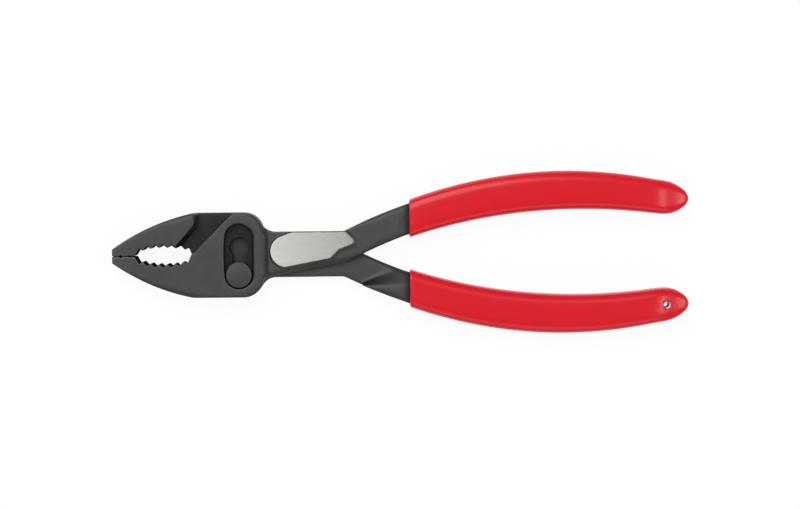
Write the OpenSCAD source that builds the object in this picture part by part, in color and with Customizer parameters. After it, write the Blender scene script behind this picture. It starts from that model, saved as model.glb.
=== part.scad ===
// Slip joint pliers. Two crossed steel halves turn on a pin, and the pin can slip
// along a slot in the front half, which widens the jaws. Dipped grips cover the handles.
// X runs from the nose to the grips, Y across the jaws and Z through the thickness.
// The tool lies on its back face at Z = 0, with its long axis on X.

/* [Overall] */
// Length from the nose to the tips of the grips
overall_l = 203.2; // [170:0.1:235]
// Thickness of the head, and of the grips
head_t = 11; // [10.6:0.1:13]
// Gap between the two halves where one laps the other
lap_gap = 0.1; // [0.06:0.02:0.2]

/* [Head] */
// Width of the head across its two flats
head_w = 29.8; // [28.6:0.1:32]
// Height of the blunt nose, both jaws together
nose_h = 4.8; // [4:0.1:6]
// Length of the curved jaws, from the nose to the flats
jaw_l = 28.5; // [27:0.1:30]
// Radius of the outer curve of a jaw
jaw_r = 74; // [64:1:90]
// How far each face of the jaws falls towards the nose
nose_fall = 1.1; // [0.4:0.1:1.6]
// Distance from the nose at which the faces are parallel again
nose_fall_l = 22; // [16:0.5:26]
// Width of the bevel along the outer curve of a jaw
jaw_bevel_w = 1.4; // [1:0.1:1.4]
// Depth of that bevel
jaw_bevel_h = 0.45; // [0.4:0.05:0.8]
// Radius of the shoulders behind the pin
shoulder_r = 7; // [6:0.1:8]
// Distance from the nose to the centres of the shoulders
shoulder_from_nose = 46.3; // [45.5:0.1:48]

/* [Mouth] */
// Distance from the nose to the toothed mouth
mouth_from_nose = 8.1; // [7:0.1:9]
// Length of the toothed mouth
mouth_l = 20; // [18:0.1:21]
// Depth of the mouth in each jaw, to the tips of the teeth
mouth_d = 2.8; // [2.2:0.1:3.2]
// Radius of the arc that the tips of the teeth follow
mouth_r = 28; // [24:0.5:40]
// Notches in each jaw
notch_count = 7; // [5:1:9]
// Depth of each notch
notch_d = 1.2; // [0.6:0.1:1.5]
// Gap between the closed jaws at the nose
bite_gap = 0.12; // [0.06:0.02:0.3]
// Diameter of the round hole near the nose, half of it in each jaw
wire_hole_d = 1.3; // [1:0.1:2]
// Distance from the nose to that hole
wire_hole_from_nose = 3.1; // [2.5:0.1:4]
// Fine notches between that hole and the mouth
nose_notch_count = 3; // [2:1:4]
// Spacing of the fine notches
nose_notch_pitch = 0.8; // [0.6:0.05:0.9]
// Depth of the fine notches
nose_notch_d = 0.3; // [0.2:0.05:0.4]

/* [Lap of the jaws] */
// Distance from the nose to the top of the plate's slanted edge
edge_from_nose = 42.8; // [41.5:0.1:44]
// Slant of the plate's edge, from the long axis
edge_angle = 45; // [43:0.5:50]
// Height of the corner where that edge meets the mouth
throat_h = 1.5; // [1:0.1:2]
// Distance from the nose to the step where a jaw gets its full thickness
step_from_nose = 29.1; // [28.6:0.1:29.6]
// Distance from the long axis to the bend in that step
step_bend_y = 11; // [10.5:0.1:11.5]
// How far the step turns towards the nose at its bend
step_turn = 41; // [38:0.5:44]
// Radius of the bend
step_r = 4; // [2:0.1:5]
// How far the step's wall leans out at its foot
step_run = 1.2; // [0.8:0.1:1.3]

/* [Slip joint] */
// Distance from the nose to the pin
pin_from_nose = 44.6; // [44.1:0.1:45]
// Distance of the closed pin from the head's lower flat
pin_from_flat = 8; // [7.7:0.1:8.4]
// Travel of the pin along its slot
slip = 9.8; // [8:0.1:10]
// Diameter of the pin's flush head
pin_head_d = 9.1; // [8.4:0.1:9.4]
// Diameter of the pin's shank
pin_d = 6.4; // [5.6:0.1:7]
// Width of the pin's neck across its two flats
pin_flat_w = 4.2; // [3.6:0.1:4.8]
// Radial clearance of the shank in its bore
pin_run = 0.05; // [0.02:0.01:0.09]
// Clearance of the neck in its slot
neck_fit = 0.15; // [0.08:0.01:0.25]
// Clearance round the head in its pocket
head_fit = 0.4; // [0.2:0.05:0.5]
// Depth of the pocket for the head
pocket_d = 2.6; // [2:0.1:3]
// Free length of the pocket past the head at the end of its travel
pocket_spare = 3.3; // [1:0.1:3.4]
// How far the pocket's front wall bows towards the nose
pocket_bow = 0.3; // [0.2:0.1:1.2]
// How far the head and the peened end lie below the faces
pin_sink = 0.15; // [0.05:0.05:0.3]
// Diameter of the peened end at the back
peen_d = 8.6; // [7.8:0.1:9]
// Depth of the peened end
peen_h = 1.2; // [0.8:0.1:1.6]

/* [Handles] */
// Distance from the plate to where the handles' centrelines cross
cross_from_plate = 23.7; // [23:0.1:24.4]
// Distance of a handle's centreline from the long axis where it is widest
handle_off = 21.8; // [21.4:0.1:24]
// Share of the grips' length, from their mouths, at which the handles are widest
widest_share = 0.578; // [0.54:0.002:0.62]
// Width of a handle
handle_w = 10.2; // [9.6:0.1:10.6]
// Thickness of a handle
handle_t = 7.8; // [7:0.1:8.4]
// Distance from the tips of the grips to the round ends of the steel
tang_from_tip = 14.6; // [13:0.1:20]
// Half of the width across the crossed shanks
shank_half_w = 8.1; // [7.8:0.1:8.4]
// Length of the straight shanks, from the plate to the curve
shank_l = 30; // [29.4:0.1:30.6]
// Radius of the hollow between the head and the shanks
neck_r = 5.7; // [4:0.1:6.5]
// Length of the slope from the plate down to the shank
neck_slope_l = 2.2; // [1.6:0.1:3]
// Room that the lap leaves past the end of the slip
lap_room = 0.6; // [0.4:0.1:0.8]
// Width of the slope at the end of the lap, where it leaves the handle
lap_slope_w = 0.3; // [0.2:0.1:1]

/* [Ground pad] */
// Height of the ground pad on the front shank
pad_h = 0.5; // [0.3:0.1:0.8]
// Distance from the plate to the pad
pad_from_plate = 2.2; // [1.8:0.1:2.6]
// Length of the pad
pad_l = 29.8; // [28:0.1:30.6]
// Radius of the pad's round end
pad_r = 5.8; // [5:0.1:6.2]
// Height of that end's centre above the long axis
pad_rise = 1.2; // [0.8:0.1:1.6]
// Slant of the pad's upper edge, from the long axis
pad_slant = 19; // [15:0.5:24]
// Width of the slope at the pad's far end
pad_slope_w = 1; // [0.6:0.1:1.4]
// Width of the sloped strip below the pad
strip_w = 2.2; // [1.6:0.1:2.6]
// How far that strip falls
strip_fall = 1.7; // [1:0.1:2.2]

/* [Grips] */
// Distance from the nose to the mouths of the grips
grip_from_nose = 104.6; // [104.4:0.1:112]
// Width of a grip at its mouth
grip_mouth_w = 13.4; // [13:0.1:13.6]
// Width of a grip where it is fullest
grip_mid_w = 13.9; // [13.5:0.1:14.2]
// Share of the grips' length, from their mouths, at which they are fullest
fullest_share = 0.375; // [0.3:0.005:0.5]
// Width of a grip where its pointed end starts
grip_end_w = 12; // [11.8:0.1:12.6]
// Length of the pointed end
grip_end_l = 9.8; // [9:0.1:11]
// Width left at the point
grip_tip_w = 0.6; // [0.4:0.1:1.2]
// Thickness left at the point
grip_tip_t = 4.4; // [3:0.1:6]
// Length over which a grip thins towards its point
grip_thin_l = 14; // [12:0.1:15]
// How far the point is lifted from the handle's curve, so that the end is level
grip_lift = 1.75; // [1:0.05:2.2]
// Radius of the grips' long edges
grip_round = 3.4; // [2.4:0.1:3.6]
// Rounding of the grips' mouths
grip_lip = 0.5; // [0.3:0.1:0.7]
// Clearance between a grip and the steel inside it
grip_fit = 0.04; // [0.02:0.01:0.1]
// Diameter of the lanyard hole in the lower grip
lanyard_d = 2.4; // [2:0.1:3]
// Distance from the tip to the lanyard hole
lanyard_from_tip = 8.2; // [7.4:0.1:8.8]

/* [Hidden] */

steel = "dimgray";
vinyl = "crimson";

// Overrun of every cut past the face that it opens
over = 1;
// Segments of a short arc, of a jaw's long curve, of a handle's edge and of true circles
arc_steps = 10;
curve_steps = 18;
handle_steps = 36;
$fn = 96;

nose_x = -overall_l / 2;
tip_x = overall_l / 2;
mid_z = head_t / 2;
lap_z = mid_z + lap_gap / 2;
handle_z = mid_z + handle_t / 2;
handle_low_z = mid_z - handle_t / 2;

function arc(c, r, from, to, steps) =
    [for (i = [0:steps]) let (a = from + (to - from) * i / steps) c + r * [cos(a), sin(a)]];

// Outer curve of the lower jaw, through the nose and the start of the flat
nose_low = [nose_x, -nose_h / 2];
flat_low = [nose_x + jaw_l, -head_w / 2];
chord = flat_low - nose_low;
jaw_c = (nose_low + flat_low) / 2
    + [-chord.y, chord.x] / norm(chord) * sqrt(pow(jaw_r, 2) - pow(norm(chord) / 2, 2));

function angle_from(c, p) = atan2(p.y - c.y, p.x - c.x);

// Shoulders and the end of the plate
shoulder_x = nose_x + shoulder_from_nose;
shoulder_y = head_w / 2 - shoulder_r;
plate_x = shoulder_x + shoulder_r;

// Hollow between a shoulder and the shank
neck_y = shank_half_w + neck_r;
neck_x = shoulder_x + sqrt(pow(shoulder_r + neck_r, 2) - pow(neck_y - shoulder_y, 2));
neck_turn = atan2(neck_y - shoulder_y, neck_x - shoulder_x);

// Mouth of the lower jaw
mouth_x = nose_x + mouth_from_nose;
mouth_end_x = mouth_x + mouth_l;
notch_pitch = mouth_l / notch_count;

function tip_depth(x) =
    mouth_d - mouth_r + sqrt(pow(mouth_r, 2) - pow(x - (mouth_x + mouth_end_x) / 2, 2));

function notch_depth(x) = tip_depth(x) + notch_d;

notches = [for (i = [notch_count - 1:-1:0])
    let (x = mouth_x + notch_pitch * (i + 1 / 2), tip = mouth_x + notch_pitch * i)
    each [[x, -notch_depth(x)], [tip, i > 0 ? -tip_depth(tip) : -bite_gap / 2]]];

nose_notches = [for (i = [0:nose_notch_count - 1])
    let (x = mouth_x - nose_notch_pitch * (i + 1 / 2), tip = mouth_x - nose_notch_pitch * (i + 1))
    each [[x, -bite_gap / 2 - nose_notch_d], [tip, -bite_gap / 2]]];

// Slanted edge of the plate, and the step behind a jaw
edge_x = nose_x + edge_from_nose;
throat_x = edge_x - (head_w / 2 - throat_h) / tan(edge_angle);
step_x = nose_x + step_from_nose;
step_reach = step_bend_y * tan(step_turn);

// Pin at the closed end of its slot
pin_x = nose_x + pin_from_nose;
pin_y = pin_from_flat - head_w / 2;
pocket_r = pin_head_d / 2 + head_fit;
pocket_l = slip + pocket_spare;
pocket_z = head_t - pocket_d;

// Centre of the upper handle's curve, and its inner and outer edges
grip_x = nose_x + grip_from_nose;
grip_l = tip_x - grip_x;
handle_x = grip_x + widest_share * grip_l;
handle_rise_l = handle_x - plate_x - cross_from_plate;
handle_r = (pow(handle_rise_l, 2) + pow(handle_off, 2)) / (2 * handle_off);
handle_y = handle_off - handle_r;
inner_r = handle_r - handle_w / 2;
outer_r = handle_r + handle_w / 2;

function on_handle(x, r) = handle_y + sqrt(pow(r, 2) - pow(x - handle_x, 2));

// Angles along the handle, from its widest place: where it starts on its inner edge, where its outer
// edge meets the shank, and the centre of its round end
shank_end_x = plate_x + shank_l;
start_turn = asin((shank_end_x - handle_x) / inner_r);
join_turn = -acos((shank_half_w - handle_y) / outer_r);
end_turn = asin((tip_x - tang_from_tip - handle_w / 2 - handle_x) / handle_r);
shank_slope = atan2(on_handle(shank_end_x, inner_r) + shank_half_w, shank_l);

// End of the lap on a handle. Its foot follows the other shank's edge at the far end of the slip, and leaves
// the handle's outer edge at a point. Its top edge runs straight along the tool, past that point.
lap_y = slip + lap_room - handle_y;
leave_y = (pow(lap_y, 2) - pow(handle_y, 2) + pow(outer_r, 2) - pow(inner_r, 2)) / (2 * (lap_y - handle_y));
leave_x = handle_x - sqrt(pow(outer_r, 2) - pow(leave_y - handle_y, 2));

function lap_foot_y(x) = lap_y - sqrt(pow(inner_r, 2) - pow(x - handle_x, 2));

// Area of a handle past the lap, at a height between the top edge and the foot of the slope
function lap_end_ring(z) =
    let (rise_share = (lap_z - z) / (lap_z - handle_low_z),
         from = leave_x - over / 2,
         xs = [for (i = [0:curve_steps + 1]) from + (grip_x - from) * i / curve_steps])
    concat(
        [[xs[curve_steps + 1], head_w], [from, head_w]],
        [for (x = xs)
            let (foot_y = lap_foot_y(x))
            [x, foot_y + (leave_y + lap_slope_w - foot_y) * rise_share]]);

// Inner edge, round end and outer edge of a handle, larger all round by the fit
function handle_points(fit, outer_turn) =
    let (c = [handle_x, handle_y], end = c + handle_r * [sin(end_turn), cos(end_turn)])
    concat(
        arc(c, inner_r - fit, 90 - start_turn, 90 - end_turn, handle_steps),
        arc(end, handle_w / 2 + fit, -90 - end_turn, 90 - end_turn, 2 * arc_steps),
        arc(c, outer_r + fit, 90 - end_turn, 90 - outer_turn, handle_steps));

// Grip stations along X
grip_mid_x = grip_x + fullest_share * grip_l;
grip_end_x = tip_x - grip_end_l;
grip_thin_x = tip_x - grip_thin_l;
grip_steps = 14;
end_steps = 8;
corner_steps = 5;
point_in = (grip_end_w - grip_tip_w) / 2;
point_r = (pow(grip_end_l, 2) + pow(point_in, 2)) / (2 * point_in);

stations = concat(
    [grip_x, grip_x + grip_lip * (1 - cos(45)), grip_x + grip_lip],
    [for (i = [1:grip_steps]) grip_x + grip_lip + (grip_end_x - grip_x - grip_lip) * i / grip_steps],
    [for (i = [1:end_steps]) grip_end_x + point_r * sin(asin(grip_end_l / point_r) * i / end_steps)]);

// Share of the way from the fullest place to one of a grip's ends
function way_share(x) = x < grip_mid_x
    ? (grip_mid_x - x) / (grip_mid_x - grip_x)
    : (x - grip_mid_x) / (grip_end_x - grip_mid_x);

function body_half_w(x) =
    (grip_mid_w - (grip_mid_w - (x < grip_mid_x ? grip_mouth_w : grip_end_w)) * pow(way_share(x), 2)) / 2;

function lip_cut(x) = x < grip_x + grip_lip
    ? grip_lip - sqrt(max(0, pow(grip_lip, 2) - pow(grip_x + grip_lip - x, 2)))
    : 0;

function slant(x) = cos(asin((x - handle_x) / handle_r));

function grip_half_w(x) = x > grip_end_x
    ? sqrt(pow(point_r, 2) - pow(x - grip_end_x, 2)) - point_r + grip_end_w / 2
    : body_half_w(x) / slant(x) - lip_cut(x);

function thin_share(x) = pow(max(0, x - grip_thin_x) / grip_thin_l, 2);

// Middle of a grip across the tool
function grip_y(x) = on_handle(x, handle_r) + grip_lift * thin_share(x);

function grip_half_t(x) = (head_t - (head_t - grip_tip_t) * thin_share(x)) / 2 - lip_cut(x);

function grip_ring(x) =
    let (w = grip_half_w(x), t = grip_half_t(x), r = min(grip_round, w, t), y = grip_y(x))
    [for (corner = [[1, 1], [-1, 1], [-1, -1], [1, -1]], i = [0:corner_steps])
        let (k = corner.x * corner.y > 0 ? i : corner_steps - i, a = 90 * k / corner_steps)
        [x, y + corner.x * (w - r + r * cos(a)), mid_z + corner.y * (t - r + r * sin(a))]];

// Turns a shape over about the long axis: front half to back half, upper grip to lower grip
module turned_over() {
    translate([0, 0, head_t])
        rotate([180, 0, 0])
            children();
}

// Solid through rings of points, from the lowest to the highest, each seen counterclockwise from above. The
// first point of the lowest and of the highest ring sees all the others of its ring.
module loft(rings) {
    n = len(rings[0]);
    top = n * (len(rings) - 1);
    sides = [for (k = [0:n:top - n], i = [0:n - 1])
        let (j = (i + 1) % n)
        each [[k + i, k + n + i, k + n + j], [k + i, k + n + j, k + j]]];
    floor_fan = [for (i = [1:n - 2]) [0, i, i + 1]];
    roof_fan = [for (i = [1:n - 2]) [top, top + i + 1, top + i]];
    polyhedron([for (ring = rings) each ring], concat(sides, floor_fan, roof_fan));
}

function at_height(ring, z) = [for (p = ring) [p.x, p.y, z]];

// Outline of the front half's head: lower jaw, mouth, slanted edge and shoulders
module head_plan() {
    polygon(concat(
        arc(jaw_c, jaw_r, angle_from(jaw_c, nose_low), angle_from(jaw_c, flat_low), curve_steps),
        arc([shoulder_x, -shoulder_y], shoulder_r, -90, 0, arc_steps),
        arc([shoulder_x, shoulder_y], shoulder_r, 0, 90, arc_steps),
        [[edge_x, head_w / 2], [throat_x, throat_h], [mouth_end_x, throat_h / 2]],
        notches,
        nose_notches,
        [[nose_x, -bite_gap / 2]]));
}

// Area behind the lower jaw's step, where the other half's plate turns, with the step moved out
function lap_ring(out) =
    let (foot = [step_x - step_reach, 0] + out * [cos(step_turn), sin(step_turn)],
         bend = [step_x - step_r, -step_bend_y - step_r * tan(step_turn / 2)])
    concat(
        [[plate_x + over, -head_w], [plate_x + over, head_w], [foot.x, head_w], foot],
        arc(bend, step_r + out, step_turn, 0, arc_steps),
        [[step_x + out, -head_w]]);

// Room for the other half's plate. The step leans, so that the room is wider at the face.
module lap_room_cut() {
    lean = step_run / lap_z;
    loft([at_height(lap_ring(-over * lean), -over), at_height(lap_ring(step_run), lap_z)]);
}

// Round body whose ends are bevelled to the outer curve of the lower jaw
module jaw_bevel() {
    slope = jaw_bevel_w / jaw_bevel_h;
    low_r = jaw_r - jaw_bevel_w - over * slope;
    full_z = (jaw_bevel_w + over) / slope;
    translate([jaw_c.x, jaw_c.y, 0])
        rotate_extrude()
            polygon([[0, -over], [low_r, -over], [jaw_r + over, full_z], [jaw_r + over, head_t - full_z],
                     [low_r, head_t + over], [0, head_t + over]]);
}

// Side view of the head: both faces fall towards the nose
module head_side() {
    fall_x = nose_x + nose_fall_l;
    translate([0, head_w, 0])
        rotate([90, 0, 0])
            linear_extrude(2 * head_w)
                polygon([[nose_x, nose_fall], [fall_x, 0], [plate_x + over, 0], [plate_x + over, head_t],
                         [fall_x, head_t], [nose_x, head_t - nose_fall]]);
}

module head_block() {
    intersection() {
        difference() {
            linear_extrude(head_t)
                head_plan();
            lap_room_cut();
        }
        head_side();
        jaw_bevel();
    }
}

// Slope between the plate's face and the lower face of the shank
module neck_slope() {
    translate([0, shoulder_y, 0])
        rotate([90, 0, 0])
            linear_extrude(2 * shoulder_y)
                polygon([[shoulder_x, lap_z], [shoulder_x, head_t], [plate_x, head_t],
                         [plate_x + neck_slope_l, handle_z - pad_h], [plate_x + neck_slope_l, lap_z]]);
}

// Outline of the straight shank from the plate, and of the curved handle that it runs into
module shank_plan() {
    root_y = shoulder_y + shoulder_r * sin(neck_turn);
    polygon(concat(
        [[shoulder_x, -shank_half_w], [plate_x, -shank_half_w]],
        handle_points(0, join_turn),
        arc([neck_x, neck_y], neck_r, 270, 180 + neck_turn, arc_steps),
        [[shoulder_x, root_y]]));
}

module shank_and_handle() {
    translate([0, 0, handle_low_z])
        linear_extrude(handle_t)
            shank_plan();
}

// Room under the shank for the other half's shank at the far end of the slip, with a sloped end
module shank_lap() {
    low_z = handle_low_z - over;
    high_z = lap_z + over;
    difference() {
        translate([shoulder_x - over, -head_w, low_z])
            cube([grip_x + over - shoulder_x, 2 * head_w, lap_z - low_z]);
        loft([for (i = [0:arc_steps])
            let (z = low_z + (high_z - low_z) * i / arc_steps)
            at_height(lap_end_ring(z), z)]);
    }
}

// What the two halves share, but for the slope at the neck: jaw, plate, shank and handle, as the front
// half lies
module half_blank() {
    difference() {
        union() {
            head_block();
            difference() {
                shank_and_handle();
                shank_lap();
            }
        }
        translate([nose_x + wire_hole_from_nose, 0, -over])
            cylinder(h = head_t + 2 * over, d = wire_hole_d);
    }
}

// Two round seats joined by a neck that only the pin's flats can pass
module slip_slot() {
    seat_r = pin_d / 2 + neck_fit;
    slot_h = pocket_z - lap_z + 2 * over;
    slot_w = pin_flat_w + 2 * neck_fit;
    translate([pin_x, pin_y, lap_z - over]) {
        cylinder(h = slot_h, r = seat_r);
        translate([0, slip, 0])
            cylinder(h = slot_h, r = seat_r);
        translate([-slot_w / 2, 0, 0])
            cube([slot_w, slip, slot_h]);
    }
}

// Pocket for the pin's head: a long hole whose front wall bows towards the nose
module head_pocket() {
    bow_r = (pow(pocket_l / 2, 2) + pow(pocket_bow, 2)) / (2 * pocket_bow);
    bow_turn = asin(pocket_l / 2 / bow_r);
    translate([pin_x, pin_y, pocket_z])
        linear_extrude(pocket_d + over)
            polygon(concat(
                arc([0, 0], pocket_r, 180, 360, 2 * arc_steps),
                arc([0, pocket_l], pocket_r, 0, 180, 2 * arc_steps),
                arc([bow_r - pocket_bow - pocket_r, pocket_l / 2], bow_r, 180 - bow_turn,
                    180 + bow_turn, arc_steps)));
}

// Outline of the ground pad: a round end towards the head and a beak towards the grip, moved out by the
// width of its slope. Its lower edge is left by the sloped strip, and its upper edge by the shank.
function pad_ring(out) =
    let (pad_x = plate_x + pad_from_plate,
         round_c = [pad_x + pad_r, pad_rise],
         open_y = shank_half_w + over,
         beak_x_shares = [0.648, 0.817, 0.993, 1, 0.893],
         beak_y_shares = [-0.42, 0.21, 0.47, 0.617, 1],
         out_x_shares = [0.71, 0.56, 1, 1],
         out_y_shares = [-0.7, -0.86, -0.69, 0.44],
         beak = [for (i = [0:4]) [pad_x + beak_x_shares[i] * pad_l, beak_y_shares[i] * shank_half_w]],
         side = beak[4] - beak[3],
         high = beak[3] + side * (open_y - beak[3].y) / side.y + out * [side.y, -side.x] / norm(side),
         start = round_c + pad_r * [-sin(pad_slant), cos(pad_slant)])
    concat(
        [start + (open_y - start.y) / sin(pad_slant) * [cos(pad_slant), sin(pad_slant)]],
        arc(round_c, pad_r, 90 + pad_slant, 270, 2 * arc_steps),
        [for (i = [0:3]) beak[i] + out * [out_x_shares[i], out_y_shares[i]]],
        [high]);

// Raised pad on the front shank, which is ground bright
module ground_pad() {
    intersection() {
        translate([0, 0, mid_z])
            linear_extrude(mid_z)
                shank_plan();
        loft([
            at_height(pad_ring(2 * pad_slope_w), handle_z - pad_h),
            at_height(pad_ring(0), handle_z + pad_h)]);
    }
}

// Sloped strip between the pad and the lower edge of the front shank
module shank_strip() {
    translate([plate_x, -shank_half_w, handle_z + pad_h - strip_fall])
        rotate([0, 0, shank_slope])
            rotate([atan2(strip_fall, strip_w), 0, 0])
                translate([neck_slope_l / 2, -strip_w, 0])
                    cube([2 * shank_l, handle_w, handle_t]);
}

module slotted_half() {
    color(steel)
        difference() {
            union() {
                difference() {
                    union() {
                        half_blank();
                        ground_pad();
                    }
                    shank_strip();
                }
                neck_slope();
            }
            slip_slot();
            head_pocket();
        }
}

module pinned_half() {
    color(steel)
        difference() {
            turned_over()
                union() {
                    half_blank();
                    neck_slope();
                }
            translate([pin_x, pin_y, -over])
                cylinder(h = head_t + 2 * over, d = pin_d + 2 * pin_run);
            translate([pin_x, pin_y, -over])
                cylinder(h = over + pin_sink + pin_run, d = peen_d + 2 * pin_run);
            translate([pin_x, pin_y, pin_sink + pin_run])
                cylinder(h = peen_h - pin_sink, d1 = peen_d + 2 * pin_run, d2 = pin_d + 2 * pin_run);
        }
}

// Pin: flush head, neck with two flats, round shank and peened end
module pivot_pin() {
    head_z = pocket_z + pin_run;
    neck_z = lap_z - lap_gap;
    color(steel)
        translate([pin_x, pin_y, 0])
            union() {
                translate([0, 0, head_z])
                    cylinder(h = head_t - pin_sink - head_z, d = pin_head_d);
                intersection() {
                    translate([0, 0, neck_z])
                        cylinder(h = head_z - neck_z, d = pin_d);
                    translate([-pin_flat_w / 2, -pin_d, neck_z])
                        cube([pin_flat_w, 2 * pin_d, head_z - neck_z]);
                }
                translate([0, 0, pin_sink])
                    cylinder(h = neck_z - pin_sink, d = pin_d);
                translate([0, 0, pin_sink])
                    cylinder(h = peen_h - pin_sink, d1 = peen_d, d2 = pin_d);
            }
}

// Dipped sleeve round the upper handle, closed and pointed at its end
module grip() {
    rings = [for (x = stations) grip_ring(x)];
    n = len(rings[0]);
    last = len(rings) - 1;
    sides = [for (i = [0:last - 1], j = [0:n - 1])
        let (a = i * n + j, b = i * n + (j + 1) % n)
        each [[a, b, b + n], [a, b + n, a + n]]];
    mouth = [for (j = [1:n - 2]) [0, j + 1, j]];
    point = [for (j = [1:n - 2]) [last * n, last * n + j, last * n + j + 1]];
    difference() {
        polyhedron([for (ring = rings) each ring], concat(sides, mouth, point));
        translate([0, 0, handle_low_z - grip_fit])
            linear_extrude(handle_t + 2 * grip_fit)
                polygon(handle_points(grip_fit, start_turn));
    }
}

module upper_grip() {
    color(vinyl)
        grip();
}

module lower_grip() {
    hole_x = tip_x - lanyard_from_tip;
    color(vinyl)
        difference() {
            turned_over()
                grip();
            translate([hole_x, -grip_y(hole_x), -over])
                cylinder(h = head_t + 2 * over, d = lanyard_d);
        }
}

slotted_half();
pinned_half();
pivot_pin();
upper_grip();
lower_grip();
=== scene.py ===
# %% [markdown]
# # Slip joint pliers
# The tool is two forged steel halves, a pin that joins them and two dipped vinyl grips.
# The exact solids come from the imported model, which is loaded first and never changed.
# The pieces made here stand for those solids, in the same place and size, with the soft
# edges, the grain and the colours that the real tool shows.

# %% Load the frame
import math

import bmesh
import bpy
import numpy as np
from mathutils import Matrix, Vector


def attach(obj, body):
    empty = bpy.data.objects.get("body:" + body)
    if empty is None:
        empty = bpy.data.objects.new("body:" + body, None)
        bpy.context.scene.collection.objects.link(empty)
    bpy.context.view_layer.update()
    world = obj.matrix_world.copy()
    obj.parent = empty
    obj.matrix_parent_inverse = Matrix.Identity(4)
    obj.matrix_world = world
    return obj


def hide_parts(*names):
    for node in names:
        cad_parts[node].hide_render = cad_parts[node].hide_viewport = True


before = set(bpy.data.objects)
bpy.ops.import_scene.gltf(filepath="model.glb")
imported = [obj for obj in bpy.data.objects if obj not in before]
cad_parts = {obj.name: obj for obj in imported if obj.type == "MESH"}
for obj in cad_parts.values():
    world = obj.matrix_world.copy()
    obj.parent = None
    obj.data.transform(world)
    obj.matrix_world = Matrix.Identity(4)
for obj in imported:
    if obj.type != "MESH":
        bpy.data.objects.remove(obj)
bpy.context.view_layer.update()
MM = 0.001
scene = bpy.context.scene
scene.view_settings.view_transform = "Standard"
print("nodes:", sorted(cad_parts))


# %% [markdown]
# Every material below is a small tree of nodes, and so is the grips' shape. Two helpers keep
# those trees short: one turns the hex colour that a paint shop would write into the linear
# values that Blender's sockets take, and one adds a node, sets it and links it.

# %% Two helpers
def linear(hex_colour):
    """An sRGB hex colour as linear red, green, blue and alpha."""
    parts = [int(hex_colour[i:i + 2], 16) / 255 for i in (1, 3, 5)]
    return [p / 12.92 if p <= 0.04045 else ((p + 0.055) / 1.055) ** 2.4 for p in parts] + [1.0]


def add(tree, kind, inputs=None, **settings):
    """A new node. An input is a value, a socket, or a node, whose first output is linked."""
    made = tree.nodes.new(kind)
    for name, value in settings.items():
        setattr(made, name, value)
    for key, value in (inputs or {}).items():
        if isinstance(value, bpy.types.Node):
            value = value.outputs[0]
        if isinstance(value, bpy.types.NodeSocket):
            tree.links.new(value, made.inputs[key])
        else:
            made.inputs[key].default_value = value
    return made


print("white is", [round(v, 3) for v in linear("#FFFFFF")])

# %% [markdown]
# A catalogue photo is taken on a white sweep under large soft boxes. The floor here is pale
# and matt, so it takes the tool's soft shadow. Part of what the camera sees of it is a plain
# white glow, which lifts the background to white without any more light on the tool. The same
# glow is there for rays that leave shiny steel, so the metal shows the white room as well.

# %% Floor
FLOOR_SIZE, FLOOR_Z = 8.0, -0.1 * MM
FLOOR_GLOW = 0.93


def seen_ray(tree):
    """1 for rays from the camera, from gloss and through glass, and 0 for diffused light."""
    path = add(tree, "ShaderNodeLightPath")
    gloss = add(tree, "ShaderNodeMath", {0: path.outputs["Is Camera Ray"],
                                         1: path.outputs["Is Glossy Ray"]}, operation="MAXIMUM")
    return add(tree, "ShaderNodeMath", {0: gloss, 1: path.outputs["Is Transmission Ray"]},
               operation="MAXIMUM")


def floor_paper():
    """Matt white paper, which glows for what the camera and the gloss see of it."""
    material = bpy.data.materials.new("matt white paper")
    material.use_nodes = True
    tree = material.node_tree
    tree.nodes.clear()
    matt = add(tree, "ShaderNodeBsdfDiffuse", {"Color": linear("#FCFCFC")})
    glow = add(tree, "ShaderNodeEmission", {"Color": linear("#FFFFFF"), "Strength": 1.0})
    share = add(tree, "ShaderNodeMath", {0: seen_ray(tree), 1: FLOOR_GLOW}, operation="MULTIPLY")
    mixed = add(tree, "ShaderNodeMixShader", {0: share, 1: matt, 2: glow})
    add(tree, "ShaderNodeOutputMaterial", {"Surface": mixed})
    return material


def make_floor(size, z):
    """One square sheet of the paper, with its middle under the tool."""
    half = size / 2
    corners = [(-half, -half, z), (half, -half, z), (half, half, z), (-half, half, z)]
    mesh = bpy.data.meshes.new("floor")
    mesh.from_pydata(corners, [], [(0, 1, 2, 3)])
    mesh.materials.append(floor_paper())
    floor = bpy.data.objects.new("floor", mesh)
    scene.collection.objects.link(floor)


make_floor(size=FLOOR_SIZE, z=FLOOR_Z)
print(f"floor {FLOOR_SIZE} m wide, with a glow of {FLOOR_GLOW}")

# %% [markdown]
# The world behind the floor does two jobs. The camera sees it as plain white, and everything
# else gets the weak, even light of a room, which opens the shadows between the soft boxes.

# %% Room
ROOM_LIGHT = 0.3

world = bpy.data.worlds.new("white room")
scene.world = world
world.use_nodes = True
room = world.node_tree
room.nodes.clear()
camera_ray = add(room, "ShaderNodeLightPath").outputs["Is Camera Ray"]
level = add(room, "ShaderNodeMapRange", {"Value": camera_ray, "To Min": ROOM_LIGHT, "To Max": 1.0})
backdrop = add(room, "ShaderNodeBackground", {"Color": linear("#FFFFFF"), "Strength": level})
add(room, "ShaderNodeOutputWorld", {"Surface": backdrop})
print("room light", ROOM_LIGHT)

# %% [markdown]
# One broad soft box above the jaws does most of the lighting, and a weak one fills in from the
# near side. Two small ones show as highlights on the ends of the grips, which bend down towards
# them, and a panel brightens the near end of the ground pad. The broad box stays out of the
# straight mirror line from the tool's flat faces to the camera, so the flats stay quiet. A box's
# brightness is its power over its area, so it is given here as a brightness, and the power is
# worked out.

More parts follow.
